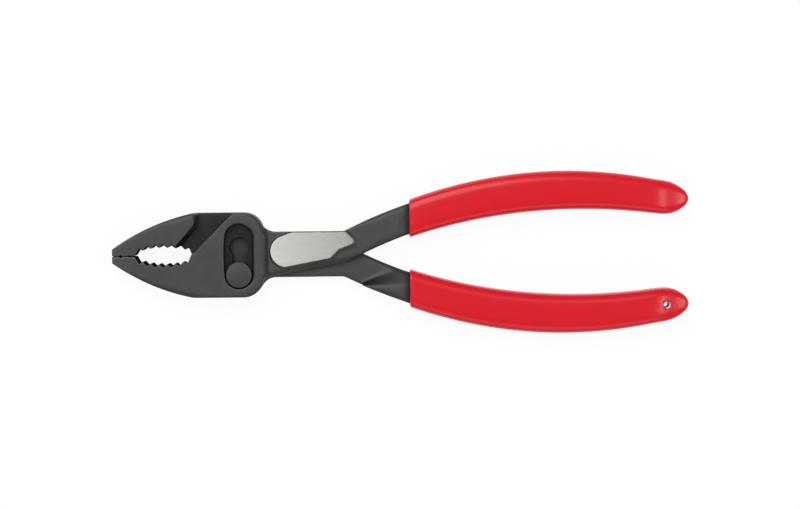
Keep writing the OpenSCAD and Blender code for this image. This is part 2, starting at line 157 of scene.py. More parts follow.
# %% Soft boxes
def soft_box(name, place, aim, width, depth, brightness):
    """An area light at place, turned to aim, whose face has that brightness."""
    light = bpy.data.lights.new(name, "AREA")
    light.shape = "RECTANGLE"
    light.size = width
    light.size_y = depth
    light.energy = brightness * math.pi * width * depth
    box = bpy.data.objects.new(name, light)
    box.location = place
    box.rotation_euler = (Vector(aim) - Vector(place)).to_track_quat("-Z", "Y").to_euler()
    scene.collection.objects.link(box)
    print(f"{name}: {light.energy:.1f} W")


soft_box("box_above_jaws", place=(-0.35, 0.5, 0.95), aim=(-0.02, 0, 0),
         width=0.8, depth=0.8, brightness=4.2)
soft_box("box_above_grips", place=(0.415, -0.03, 0.85), aim=(0.09, 0, 0),
         width=0.48, depth=0.09, brightness=8.0)
soft_box("box_past_grips", place=(0.94, -0.03, 0.85), aim=(0.09, 0, 0),
         width=0.28, depth=0.26, brightness=7.0)
soft_box("box_near_side", place=(0.1, -0.8, 0.6), aim=(0, 0, 0),
         width=0.9, depth=0.5, brightness=1.2)
soft_box("panel_over_shank", place=(-0.185, -0.05, 1.0), aim=(-0.04, 0, 0),
         width=0.23, depth=0.25, brightness=1.45)

# %% [markdown]
# The photo looks straight down on the tool, tipped a little so that the far edges show their
# sides. How far the back of the jaws is shifted against the front gives the distance. The lens
# then follows from the scale of the picture, and the tool lies turned by half a degree.

# %% Camera
AIM = Vector((-0.35, -0.45, 5.5)) * MM
DISTANCE = 775 * MM
TIP_DEG = 2.7
ROLL_DEG = -0.55
# Millimetres of lens for each metre of distance
LENS_PER_METRE = 127.36
SENSOR_MM = 36

tip = math.radians(TIP_DEG)
camera_data = bpy.data.cameras.new("camera")
camera_data.sensor_width = SENSOR_MM
camera_data.lens = LENS_PER_METRE * DISTANCE
camera = bpy.data.objects.new("camera", camera_data)
camera.matrix_world = (
    Matrix.Translation(AIM)
    @ Matrix.Rotation(-tip, 4, "X")
    @ Matrix.Rotation(math.radians(ROLL_DEG), 4, "Z")
    @ Matrix.Translation((0, 0, DISTANCE)))
scene.collection.objects.link(camera)
scene.camera = camera
print(f"lens {camera_data.lens:.1f} mm at {DISTANCE:.3f} m")

# %% [markdown]
# The steel pieces start from copies of the CAD solids, whose triangles are loose and have to be
# joined first. Modifiers do part of the work and are then turned into plain meshes. The rest is
# arithmetic on all the vertices at once, for which numpy is quick.

# %% Mesh helpers
JOIN = 0.001 * MM


def merged_copy(node, name):
    """A copy of a CAD node's loose triangles, joined to one closed mesh."""
    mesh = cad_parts[node].data.copy()
    mesh.name = name
    mesh.materials.clear()
    work = bmesh.new()
    work.from_mesh(mesh)
    bmesh.ops.remove_doubles(work, verts=work.verts, dist=JOIN)
    work.to_mesh(mesh)
    work.free()
    for layer in [a.name for a in mesh.color_attributes]:
        mesh.color_attributes.remove(mesh.color_attributes[layer])
    piece = bpy.data.objects.new(name, mesh)
    scene.collection.objects.link(piece)
    return piece


def settle(piece):
    """Turns a piece and its modifiers into a plain mesh."""
    depsgraph = bpy.context.evaluated_depsgraph_get()
    mesh = bpy.data.meshes.new_from_object(piece.evaluated_get(depsgraph))
    piece.modifiers.clear()
    old = piece.data
    piece.data = mesh
    bpy.data.meshes.remove(old)
    mesh.name = piece.name


def numbers(items, field, width):
    """One field of a mesh's vertices or edges, as a table."""
    kind = np.int64 if field == "vertices" else np.float64
    values = np.empty(len(items) * width, kind)
    items.foreach_get(field, values)
    return values.reshape(-1, width)


def ramp(values, start, end):
    """0 at start and 1 at end, straight between them and level outside."""
    return np.clip((values - start) / (end - start), 0, 1)


def neighbour_mean(mesh, values):
    """For each vertex, the mean of its neighbours' values."""
    a, b = numbers(mesh.edges, "vertices", 2).T
    count = len(mesh.vertices)
    total = np.stack([np.bincount(a, column[b], count) + np.bincount(b, column[a], count)
                      for column in values.T], 1)
    return total / np.maximum(np.bincount(np.concatenate([a, b]), minlength=count), 1)[:, None]


def relax(mesh, rounds, share):
    """Moves each vertex towards the middle of its neighbours, by up to half of the way."""
    places = numbers(mesh.vertices, "co", 3)
    for _ in range(rounds):
        places += share[:, None] / 2 * (neighbour_mean(mesh, places) - places)
    mesh.vertices.foreach_set("co", places.ravel())
    mesh.update()


print("triangles:", {name: len(node.data.polygons) for name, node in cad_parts.items()})

# %% [markdown]
# The halves are drop forgings. Forging, tumbling and the black finish leave no sharp edge on
# them: each edge is a small round, which is what catches the light in the photo. A Bevel
# modifier could cut such rounds, but it tangles where teeth, steps and slots meet. So a merged
# copy of each solid is rebuilt from small voxels and relaxed, most on the outer edges, the neck
# behind the head and the slope of the handle, and least at the nose and the pad.

# %% Rounded forgings
VOXEL = 0.22 * MM
JAW_C = (-58.3, 57.6)
WIRE_HOLE, DRAWN_IN, DRAWN_SPAN = (-98.5, 0.0), 0.25, (1.4, 0.75)

# Where each region starts and where it is full, in mm: X, height for the pad's last pair, and
# distance from the centre of the jaw's arc for the jaw's edge
SPAN = {
    "all but the nose": (-97, -88),
    "jaw edge": (70.5, 72),
    "behind the nose": (-98, -94),
    "collar": (-54, -50),
    "collar's end": (-46, -47.4),
    "pad": (-47.4, -46.6),
    "pad's end": (-15, -17),
    "pad's height": (8.4, 9),
    "handle": (-18, -12),
    "slope": (-14, -9),
    "before the grip": (2.6, 1),
}
ROUNDS = {"every edge": 8, "outer edges": 24, "collar and slope": 80}
PAD_CRISP, SLOPE_SHARE = 0.6, 0.8


def from_jaw_centre(x, y):
    """Distance from the centre of the jaw's arc, in mm. The two jaws mirror each other."""
    return np.hypot(x - JAW_C[0], np.abs(y) + JAW_C[1])


def narrow_wire_hole(mesh):
    """Draws the hole near the nose in by a quarter, to the size that the photo shows."""
    places = numbers(mesh.vertices, "co", 3)
    out = places[:, :2] - np.array(WIRE_HOLE) * MM
    from_axis = np.hypot(*out.T) / MM
    places[:, :2] -= out * DRAWN_IN * ramp(from_axis, *DRAWN_SPAN)[:, None]
    mesh.vertices.foreach_set("co", places.ravel())
    mesh.update()


def forging(node, name):
    """A CAD half with its edges rounded: least at nose and pad, most on the outer edges."""
    piece = merged_copy(node, name)
    voxels = piece.modifiers.new("voxels", "REMESH")
    voxels.mode = "VOXEL"
    voxels.voxel_size = VOXEL
    settle(piece)
    x, y, z = numbers(piece.data.vertices, "co", 3).T / MM
    rim = ramp(from_jaw_centre(x, y), *SPAN["jaw edge"]) * ramp(x, *SPAN["behind the nose"])
    collar = ramp(x, *SPAN["collar"]) * ramp(x, *SPAN["collar's end"])
    pad = ramp(x, *SPAN["pad"]) * ramp(x, *SPAN["pad's end"]) * ramp(z, *SPAN["pad's height"])
    handle = ramp(x, *SPAN["handle"]) * ramp(x, *SPAN["before the grip"])
    slope = ramp(x, *SPAN["slope"]) * ramp(x, *SPAN["before the grip"])
    most = ramp(x, *SPAN["all but the nose"]) * (1 - PAD_CRISP * pad)
    soft = np.maximum(collar, SLOPE_SHARE * slope)
    relax(piece.data, ROUNDS["every edge"], most)
    relax(piece.data, ROUNDS["outer edges"], np.maximum(rim, handle) * (1 - pad))
    relax(piece.data, ROUNDS["collar and slope"], soft * (1 - pad))
    narrow_wire_hole(piece.data)
    print(f"{name}: {len(piece.data.vertices)} points")
    return piece


slotted_half = forging("slotted_half", "front_forging")
pinned_half = forging("pinned_half", "back_forging")

# %% [markdown]
# The pin is turned from bar, so its edges are crisp, with only a small break where the tool left
# the cut. A bevel on the two outer rims of the merged copy is enough for that.

# %% Pivot pin
PIN_BREAK = 0.22 * MM
HEAD_RIM_Z, END_RIM_Z = 10.5 * MM, 0.5 * MM
FLAT_ANGLE, RIM_ANGLE, PIN_SHARP = (math.radians(degrees) for degrees in (0.5, 40, 35))


def bevelled_pin():
    """The CAD pin, with a small bevel on its two outer rims."""
    piece = merged_copy("pivot_pin", "riveted_pin")
    work = bmesh.new()
    work.from_mesh(piece.data)
    bmesh.ops.dissolve_limit(work, angle_limit=FLAT_ANGLE, verts=work.verts, edges=work.edges)
    rims = [edge for edge in work.edges if edge.calc_face_angle(0) > RIM_ANGLE
            and all(v.co.z > HEAD_RIM_Z or v.co.z < END_RIM_Z for v in edge.verts)]
    bmesh.ops.bevel(work, geom=rims, offset=PIN_BREAK, segments=3, profile=0.5, affect="EDGES")
    work.to_mesh(piece.data)
    work.free()
    piece.data.shade_smooth()
    piece.data.set_sharp_from_angle(angle=PIN_SHARP)
    print(f"{piece.name}: {len(piece.data.polygons)} faces")
    return piece


pin = bevelled_pin()

# %% [markdown]
# Edges of the steel get a lighter grey, a painted highlight. The sheltered places get painted
# shade, a dark matt colour: full on the walls of the mouth and of the pin's pocket, and thinner
# on the lapped faces, in corners and beside the grips. Each vertex gets two numbers for that,
# how much painted shade and how much painted highlight it takes, and the steel's material reads
# them. Edges and corners are found by how far a vertex stands out from its neighbours.

# %% Painted shade and edge highlights
STEEP = 0.6
JAW_R, NOSE_X, JAW_SIDE_Y = 73.0, -101, 14.4
WALL_SPAN, STEP_SPAN, GRIP_SPAN = (-67, -71), (7, 9.5), (0.4, 3.2)
LAP_Z, LAP_NEAR, LAP_END_X = 5.5, 3.2, -52
PIN_X, SEATS_Y, POCKET_R, POCKET_Z, LEDGE_Z = -57.0, (-6.9, 6.2), 5.6, (5.0, 10.6), 6.5
CORNER_BEND, HIGHLIGHT_BEND, BLUR_ROUNDS = (0.03, 0.1), (0.03, 0.13), 2
# Shares of painted shade on lapped faces, pocket ledge, deep slot, corners and near the step
SHADE_SHARES = {"lap": 0.62, "ledge": 0.8, "slot": 0.4, "corner": 0.4, "step": 0.6}


def painted_shade(places, normals):
    """How much painted shade a vertex takes: 1 on the walls of mouth and pocket and at the grips,
    less on lap, ledge and slot.
    """
    x, y, z = places.T / MM
    steep = np.abs(normals[:, 2]) < STEEP
    jaws = (from_jaw_centre(x, y) < JAW_R) & (x > NOSE_X) & (np.abs(y) < JAW_SIDE_Y)
    wall = jaws * ramp(x, *WALL_SPAN) * (1 - (1 - SHADE_SHARES["step"]) * ramp(y, *STEP_SPAN))
    pocket = np.hypot(x - PIN_X, y - np.clip(y, *SEATS_Y)) < POCKET_R
    pocket &= (z > POCKET_Z[0]) & (z < POCKET_Z[1])
    lap = (x < LAP_END_X) & (np.abs(z - LAP_Z) < LAP_NEAR) & ~steep
    # Painted shade where little light reaches: lap faces, pocket, mouth walls, and the steel by and
    # inside the grips
    shade_level = np.where(lap, SHADE_SHARES["lap"], 0)
    shade_level = np.where(pocket, np.where(z > LEDGE_Z, SHADE_SHARES["ledge"], SHADE_SHARES["slot"]), shade_level)
    shade_level = np.where(steep, np.maximum(wall, pocket), shade_level)
    return np.maximum(shade_level, ramp(x, *GRIP_SPAN))


def edge_bend(mesh, places, normals):
    """How far each vertex stands out from its neighbours, in voxels: below 0 in a corner."""
    return ((places - neighbour_mean(mesh, places)) * normals).sum(1) / VOXEL


def mark(piece, forged):
    """Stores the painted shade and the painted edge highlight of each vertex. A piece that isn't
    forged gets no edge highlight and no shade in corners.
    """
    mesh = piece.data
    places = numbers(mesh.vertices, "co", 3)
    normals = numbers(mesh.vertices, "normal", 3)
    bend = forged * edge_bend(mesh, places, normals)
    # Painted shade in corners and a painted highlight on outer edges
    corner = SHADE_SHARES["corner"] * ramp(-bend, *CORNER_BEND)
    shade_share = np.maximum(painted_shade(places, normals), corner)
    marks = np.stack([shade_share, ramp(bend, *HIGHLIGHT_BEND)], 1)
    for _ in range(BLUR_ROUNDS):
        marks = (marks + neighbour_mean(mesh, marks)) / 2
    for name, column in zip(("painted_shade", "edge_highlight"), marks.T):
        mesh.attributes.new(name, "FLOAT", "POINT").data.foreach_set("value", column)
    print(f"{piece.name}: {marks[:, 0].mean():.2f} sheltered, {marks[:, 1].mean():.2f} worn")


mark(slotted_half, forged=True)
mark(pinned_half, forged=True)
mark(pin, forged=False)

# %% [markdown]
# The voxels leave as many faces on a flat as on a tooth. So the forgings are thinned, but not on
# the walls of the mouth, which keep their faces and with them a clean line between the black
# painted shade and the grey.

# %% Thinner forgings
FLAT_FACES = 150000
HEAD_END_X = -51.5
DEEP_SHADE = 0.9


def thin(piece):
    """Takes faces out of a forging, all of them away from the mouth's walls, where the shade is
    painted black.
    """
    black = numbers(piece.data.attributes["painted_shade"].data, "value", 1)[:, 0] > DEEP_SHADE
    black &= numbers(piece.data.vertices, "co", 3)[:, 0] < HEAD_END_X * MM
    group = piece.vertex_groups.new(name="flats")
    group.add(np.flatnonzero(~black).tolist(), 1, "REPLACE")
    full = 2 * len(piece.data.polygons)
    fewer = piece.modifiers.new("fewer", "DECIMATE")
    fewer.ratio = min(1, FLAT_FACES / full)
    fewer.vertex_group = group.name
    settle(piece)
    piece.vertex_groups.clear()
    piece.data.shade_smooth()
    print(f"{piece.name}: {full} faces thinned to {len(piece.data.polygons)}")


thin(slotted_half)
thin(pinned_half)

# %% [markdown]
# The steel has a black oxide finish: a thin dark skin over a fine blasted grain, so it is a
# metal with a dark, broad gloss. It is a little cloudy, with a painted highlight of lighter grey
# on the edges and painted shade near black in sheltered places, as the two numbers at each vertex
# say.

# %% Black oxide skin
# Real grain is finer than 0.1 mm. A pixel of the render is 0.35 mm, so the grain is drawn as
# coarse as that, to show at all.
GRAIN_MM, CLOUD_MM = 0.35, 7.0
GRAIN_SHARE, HIGHLIGHT_SHARE = 0.35, 0.4


def oxide_skin(tree, place, grain, shade_share):
    """The colour of the finish, from its clouds and its grain, with painted edge highlights and
    painted shade.
    """
    cloud = add(tree, "ShaderNodeTexNoise", {
        "Vector": place, "Scale": 1 / (CLOUD_MM * MM), "Detail": 3.0})
    oxide = add(tree, "ShaderNodeMix", {
        "Factor": cloud, 6: linear("#464646"), 7: linear("#525253")}, data_type="RGBA")
    grained = add(tree, "ShaderNodeMix", {
        "Factor": GRAIN_SHARE, 6: oxide.outputs[2], 7: grain.outputs["Color"]},
        data_type="RGBA", blend_type="SOFT_LIGHT")
    # Painted highlight: a lighter grey on edges that stand out
    edge_highlight = add(tree, "ShaderNodeAttribute", attribute_name="edge_highlight").outputs["Fac"]
    highlight_share = add(tree, "ShaderNodeMath", {0: edge_highlight, 1: HIGHLIGHT_SHARE}, operation="MULTIPLY")
    skin = add(tree, "ShaderNodeMix", {
        "Factor": highlight_share, 6: grained.outputs[2], 7: linear("#8C8C8C")}, data_type="RGBA")
    # Painted shade: near black where the vertex is sheltered
    skin = add(tree, "ShaderNodeMix", {
        "Factor": shade_share, 6: skin.outputs[2], 7: linear("#202020")}, data_type="RGBA")
    return skin.outputs[2]


print(f"grain {GRAIN_MM} mm, clouds {CLOUD_MM} mm")

# %% [markdown]
# One shank carries a pad that is ground after the finish, down to bright steel with the fine
# lines of the belt. It could be a piece of its own, but it is part of the forging. It is the
# only level face at its height, so place, height and slope find it.

# %% Ground pad
PAD_Z, PAD_X = 9.9 * MM, -47.0 * MM
PAD_NEAR, PAD_LEVEL = (0.03 * MM, 0.08 * MM), (0.985, 0.995)
# Coarser than real belt lines, as the grain is, to show at all
BELT_LINE_MM, BELT_DRAW = 0.3, 0.04


def pad_mask(tree, place):
    """1 on the ground pad and 0 elsewhere: near one height, level, and behind the head."""
    spot = add(tree, "ShaderNodeSeparateXYZ", {0: place})
    off = add(tree, "ShaderNodeMath", {0: spot.outputs["Z"], 1: PAD_Z}, operation="SUBTRACT")
    off = add(tree, "ShaderNodeMath", {0: off}, operation="ABSOLUTE")
    near = add(tree, "ShaderNodeMapRange", {
        "Value": off, "From Min": PAD_NEAR[0], "From Max": PAD_NEAR[1],
        "To Min": 1.0, "To Max": 0.0})
    behind = add(tree, "ShaderNodeMath", {0: spot.outputs["X"], 1: PAD_X}, operation="GREATER_THAN")
    normal = add(tree, "ShaderNodeNewGeometry").outputs["Normal"]
    up = add(tree, "ShaderNodeSeparateXYZ", {0: normal}).outputs["Z"]
    level_up = add(tree, "ShaderNodeMapRange", {
        "Value": up, "From Min": PAD_LEVEL[0], "From Max": PAD_LEVEL[1]})
    ground = add(tree, "ShaderNodeMath", {0: near, 1: level_up}, operation="MULTIPLY")
    return add(tree, "ShaderNodeMath", {0: ground, 1: behind}, operation="MULTIPLY")


def belt_lines(tree, place):
    """Noise that is drawn out along X, because the belt runs along the shank."""
    drawn = add(tree, "ShaderNodeMapping", {"Vector": place, "Scale": (BELT_DRAW, 1.0, 1.0)})
    return add(tree, "ShaderNodeTexNoise", {
        "Vector": drawn, "Scale": 1 / (BELT_LINE_MM * MM), "Detail": 3.0})


print(f"pad at {PAD_Z / MM:.1f} mm, belt lines {BELT_LINE_MM} mm")

# %% [markdown]
# One material serves all the steel. The skin and the pad are both metal, with a broad gloss on
# the one and a tight gloss on the other. Where painted shade lies, the metal fades out and leaves
# a matt dark colour.

# %% Steel on its three pieces
OXIDE_ROUGH, PAD_ROUGH = (0.48, 0.64), 0.22
STEEL_BUMP, STEEL_RELIEF = 0.12, 0.05 * MM


def black_oxide_steel():
    """Dark metal with a broad gloss, a bright ground pad, and matt painted shade where sheltered.
    """
    material = bpy.data.materials.new("black oxide steel with a ground pad")
    material.use_nodes = True
    tree = material.node_tree
    tree.nodes.clear()
    place = add(tree, "ShaderNodeTexCoord").outputs["Object"]
    grain = add(tree, "ShaderNodeTexNoise", {
        "Vector": place, "Scale": 1 / (GRAIN_MM * MM), "Detail": 2.0})
    shade_share = add(tree, "ShaderNodeAttribute", attribute_name="painted_shade").outputs["Fac"]
    # Where shade is painted the metal fades out, leaving a matt dark colour
    bare = add(tree, "ShaderNodeMath", {0: 1.0, 1: shade_share}, operation="SUBTRACT")
    skin = oxide_skin(tree, place, grain, shade_share)
    ground = pad_mask(tree, place)
    lines = belt_lines(tree, place)
    bright = add(tree, "ShaderNodeMix", {
        "Factor": lines, 6: linear("#AEAEAA"), 7: linear("#C6C6C4")}, data_type="RGBA")
    colour = add(tree, "ShaderNodeMix", {
        "Factor": ground, 6: skin, 7: bright.outputs[2]}, data_type="RGBA")
    oxide_rough = add(tree, "ShaderNodeMapRange", {
        "Value": grain, "To Min": OXIDE_ROUGH[0], "To Max": OXIDE_ROUGH[1]})
    rough = add(tree, "ShaderNodeMix", {
        "Factor": ground, 2: oxide_rough, 3: PAD_ROUGH}, data_type="FLOAT")
    height = add(tree, "ShaderNodeMix", {"Factor": ground, 2: grain, 3: lines}, data_type="FLOAT")
    bump = add(tree, "ShaderNodeBump", {
        "Strength": STEEL_BUMP, "Distance": STEEL_RELIEF, "Height": height})
    steel = add(tree, "ShaderNodeBsdfPrincipled", {
        "Base Color": colour.outputs[2], "Metallic": bare, "Roughness": rough,
        "Specular IOR Level": 0.0, "Normal": bump})
    add(tree, "ShaderNodeOutputMaterial", {"Surface": steel})
    return material


oxide_steel = black_oxide_steel()
for piece, body, node, slot in ((slotted_half, "front_half", "slotted_half", "forged_steel"),
                                (pinned_half, "back_half", "pinned_half", "forged_steel"),
                                (pin, "pin", "pivot_pin", "pin_steel")):
    piece.data.materials.append(oxide_steel)
    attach(piece, body)
    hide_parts(node)
print("steel on", slotted_half.name, pinned_half.name, pin.name)

# %% [markdown]
# A grip is made by dipping the hot handle in liquid vinyl, which runs to an even skin with a
# rounded rim at its mouth and a soft drawn-out point at its end. Its shape follows a rule: a
# rounded section that is carried along the handle's arc, and grows and shrinks on the way. So
# Geometry Nodes make it. A grid of rows and columns is bent to the section's outline, row by
# row, with two curves that say how wide and how thick the grip is along its length.

# %% The rule of a grip
GRIP = {
    "Mouth X": 3.0 * MM,
    "Length": 98.6 * MM,
    "Arc centre X": 60.0 * MM,
    "Arc centre Y": -153.2 * MM,
    "Arc radius": 175.0 * MM,
    "Width": 13.9 * MM,
    "Thickness": 11.0 * MM,
    "Mid height": 5.5 * MM,
    "Point lift": 1.75 * MM,
    "Section power": 0.5,
    "Rows": 180,
    "Points around": 72,
}
MOUTH_W, END_W = 13.4, 12.0
FULL_AT, POINT_L = 37.0, 9.8
NOSE_R, NOSE_SHARE = 1.3, 0.8
TIP_T, THIN_L, RIM = 5.2, 14.0, 0.7


def row_place(share):
    """Where along the grip a row lies, in mm from the mouth: rows crowd at both ends."""
    return GRIP["Length"] / MM * (1 - math.cos(math.pi * share)) / 2


def rim_cut(x):
    """How much the rounded rim at the mouth takes off each side."""
    return RIM - math.sqrt(max(0, RIM ** 2 - (RIM - x) ** 2)) if x < RIM else 0


def nose_cut(x):
    """How much of the size is left at the rounded nose, as a share."""
    left = GRIP["Length"] / MM - x
    return math.sqrt(max(0, NOSE_R ** 2 - (NOSE_R - left) ** 2)) / NOSE_R if left < NOSE_R else 1


def half_width(x):
    """Half the width at x mm from the mouth: swells to FULL_AT, then draws in to the point."""
    length = GRIP["Length"] / MM
    full = GRIP["Width"] / MM
    point = length - POINT_L
    if x < FULL_AT:
        return (full - (full - MOUTH_W) * ((FULL_AT - x) / FULL_AT) ** 2) / 2 - rim_cut(x)
    if x < point:
        return (full - (full - END_W) * ((x - FULL_AT) / (point - FULL_AT)) ** 2) / 2
    reach = END_W / 2 - NOSE_R * NOSE_SHARE
    radius = (POINT_L ** 2 + reach ** 2) / (2 * reach)
    return (math.sqrt(radius ** 2 - (x - point) ** 2) - radius + END_W / 2) * nose_cut(x)


def half_thickness(x):
    """Half the thickness at x mm from the mouth: even, then thinner towards the point."""
    length = GRIP["Length"] / MM
    full = GRIP["Thickness"] / MM
    thin = max(0, (x - length + THIN_L) / THIN_L) ** 2
    return ((full - (full - TIP_T) * thin) / 2 - rim_cut(x)) * nose_cut(x)


print("half width at the mouth, middle and end, mm:",
      [round(half_width(x), 2) for x in (0, 1, 37, 88, 95, 98)])

# %% [markdown]
# The tree takes a point's row and column from its index. The row gives its place along the
# handle's arc, and the column its angle around the section. The rule above goes into two Float
# Curve nodes, as shares of the full half sizes, and the sizes are the tree's named inputs.

# %% Parts of the grip's tree
CURVE_POINTS = 40


def shape_curve(tree, share, name, rule, full):
    """A Float Curve node through a rule's values, as shares of the full half size."""
    node = add(tree, "ShaderNodeFloatCurve", {"Value": share}, label=name)
    curve = node.mapping.curves[0]
    for i in range(CURVE_POINTS + 1):
        at = i / CURVE_POINTS
        value = rule(row_place(at)) / full
        if i == 0:
            curve.points[0].location = (0, value)
        elif i == CURVE_POINTS:
            curve.points[-1].location = (1, value)
        else:
            curve.points.new(at, value)
    node.mapping.update()
    return node


def grip_inputs(tree):
    """Gives the tree its named inputs and its output, and returns the inputs' sockets."""
    face = tree.interface
    face.new_socket("Geometry", in_out="INPUT", socket_type="NodeSocketGeometry")
    for name, value in GRIP.items():
        kind = "NodeSocketInt" if isinstance(value, int) else "NodeSocketFloat"
        face.new_socket(name, in_out="INPUT", socket_type=kind).default_value = value
    face.new_socket("Vinyl", in_out="INPUT", socket_type="NodeSocketMaterial")
    face.new_socket("Geometry", in_out="OUTPUT", socket_type="NodeSocketGeometry")
    return add(tree, "NodeGroupInput").outputs


def middle_line(tree, size, share):
    """The X of the row at this share of the grip, and the Y of its middle."""
    turn = add(tree, "ShaderNodeMath", {0: share, 1: math.pi}, operation="MULTIPLY")
    turn = add(tree, "ShaderNodeMath", {0: turn}, operation="COSINE")
    along = add(tree, "ShaderNodeMapRange", {"Value": turn, "From Min": 1.0, "From Max": -1.0,
                                             "To Min": 0.0, "To Max": size["Length"]}).outputs[0]
    x = add(tree, "ShaderNodeMath", {0: along, 1: size["Mouth X"]}, operation="ADD")

    # Middle of the section, on the handle's arc
    run = add(tree, "ShaderNodeMath", {0: x, 1: size["Arc centre X"]}, operation="SUBTRACT")
    run = add(tree, "ShaderNodeMath", {0: run, 1: 2.0}, operation="POWER")
    rise = add(tree, "ShaderNodeMath", {0: size["Arc radius"], 1: 2.0}, operation="POWER")
    rise = add(tree, "ShaderNodeMath", {0: rise, 1: run}, operation="SUBTRACT")
    rise = add(tree, "ShaderNodeMath", {0: rise}, operation="SQRT")
    middle = add(tree, "ShaderNodeMath", {0: rise, 1: size["Arc centre Y"]}, operation="ADD")

    # The point is lifted from the arc, so that the end is level
    lift = add(tree, "ShaderNodeMapRange", {
        "Value": along, "From Min": GRIP["Length"] - THIN_L * MM, "From Max": GRIP["Length"]})
    lift = add(tree, "ShaderNodeMath", {0: lift, 1: 2.0}, operation="POWER")
    lift = add(tree, "ShaderNodeMath", {0: lift, 1: size["Point lift"]}, operation="MULTIPLY")
    return x, add(tree, "ShaderNodeMath", {0: middle, 1: lift}, operation="ADD")


print(f"curves through {CURVE_POINTS + 1} points")

# %% [markdown]
# The grid has one column more than the section has points. The last column falls on the first,
# and row 0 and the last row each fall on one point, so the skin closes once such points merge.

# %% Geometry Nodes tree of a grip
SEAM = 0.002 * MM


def grip_tree():
    """The tree that makes a grip as a full body, before the steel is cut out of it."""
    tree = bpy.data.node_groups.new("dipped grip", "GeometryNodeTree")
    size = grip_inputs(tree)
    columns = add(tree, "ShaderNodeMath", {0: size["Points around"], 1: 1.0}, operation="ADD")
    grid = add(tree, "GeometryNodeMeshGrid", {"Vertices X": size["Rows"], "Vertices Y": columns})
    index = add(tree, "GeometryNodeInputIndex")
    row = add(tree, "ShaderNodeMath", {0: index, 1: columns}, operation="DIVIDE")
    row = add(tree, "ShaderNodeMath", {0: row}, operation="FLOOR")
    column = add(tree, "ShaderNodeMath", {0: index, 1: columns}, operation="MODULO")

    # Row 0 closes the mouth, and the others run from the rim to the point
    last = add(tree, "ShaderNodeMath", {0: size["Rows"], 1: 2.0}, operation="SUBTRACT")
    share = add(tree, "ShaderNodeMath", {0: row, 1: 1.0}, operation="SUBTRACT")
    share = add(tree, "ShaderNodeMath", {0: share, 1: last}, operation="DIVIDE", use_clamp=True)
    open_row = add(tree, "ShaderNodeMath", {0: row, 1: 0.5}, operation="GREATER_THAN")
    x, middle = middle_line(tree, size, share)

    # Half sizes of the section at this row
    wide = shape_curve(tree, share, "width along the grip", half_width, GRIP["Width"] / MM / 2)
    thick = shape_curve(tree, share, "thickness along the grip", half_thickness,
                        GRIP["Thickness"] / MM / 2)
    halves = []
    for curve, full in ((wide, size["Width"]), (thick, size["Thickness"])):
        half = add(tree, "ShaderNodeMath", {0: curve, 1: full}, operation="MULTIPLY")
        half = add(tree, "ShaderNodeMath", {0: half, 1: 0.5}, operation="MULTIPLY")
        halves.append(add(tree, "ShaderNodeMath", {0: half, 1: open_row}, operation="MULTIPLY"))

    # Rounded section: a circle whose cosine and sine are raised to a power below 1. The turn
    # is backwards, so that the faces point outwards.
    column = add(tree, "ShaderNodeMath", {0: column, 1: size["Points around"]}, operation="MODULO")
    angle = add(tree, "ShaderNodeMath", {0: column, 1: size["Points around"]}, operation="DIVIDE")
    angle = add(tree, "ShaderNodeMath", {0: angle, 1: -2 * math.pi}, operation="MULTIPLY")
    sides = []
    for operation, half in (("COSINE", halves[0]), ("SINE", halves[1])):
        wave = add(tree, "ShaderNodeMath", {0: angle}, operation=operation)
        sign = add(tree, "ShaderNodeMath", {0: wave}, operation="SIGN")
        bulge = add(tree, "ShaderNodeMath", {0: wave}, operation="ABSOLUTE")
        bulge = add(tree, "ShaderNodeMath", {0: bulge, 1: size["Section power"]}, operation="POWER")
        bulge = add(tree, "ShaderNodeMath", {0: bulge, 1: sign}, operation="MULTIPLY")
        sides.append(add(tree, "ShaderNodeMath", {0: bulge, 1: half}, operation="MULTIPLY"))
    y = add(tree, "ShaderNodeMath", {0: sides[0], 1: middle}, operation="ADD")
    z = add(tree, "ShaderNodeMath", {0: sides[1], 1: size["Mid height"]}, operation="ADD")
    place = add(tree, "ShaderNodeCombineXYZ", {"X": x, "Y": y, "Z": z})

    skin = add(tree, "GeometryNodeSetPosition", {"Geometry": grid, "Position": place})
    closed = add(tree, "GeometryNodeMergeByDistance", {"Geometry": skin, "Distance": SEAM})
    smooth = add(tree, "GeometryNodeSetShadeSmooth", {"Geometry": closed})
    real = add(tree, "GeometryNodeRealizeInstances", {"Geometry": smooth})
    finished = add(tree, "GeometryNodeSetMaterial", {"Geometry": real, "Material": size["Vinyl"]})
    add(tree, "NodeGroupOutput", {"Geometry": finished})
    return tree


rule_of_grip = grip_tree()
print("grip tree:", len(rule_of_grip.nodes), "nodes")

# %% [markdown]
# Dipped vinyl is a soft plastic with an even colour and a half gloss. Where it ran and set it
# has a faint waviness, and its skin has very fine pores. Both show mostly in the gloss. The bore of
# the cord hole gets painted shade, so it is matt and near black.

# %% Dipped vinyl
HOLE = Vector((93.4, -18.88, 5.5)) * MM
HOLE_R, BORE_SHARE = 1.2 * MM, 1.02
# Real pores are far finer. A pixel of the render is 0.35 mm, so they are drawn at 0.4 mm to show.
RUNS_MM, PORES_MM, PORE_SHARE = 9, 0.4, 0.03
VINYL_ROUGH = (0.2, 0.28)
VINYL_BUMP, VINYL_RELIEF = 0.05, 0.15 * MM


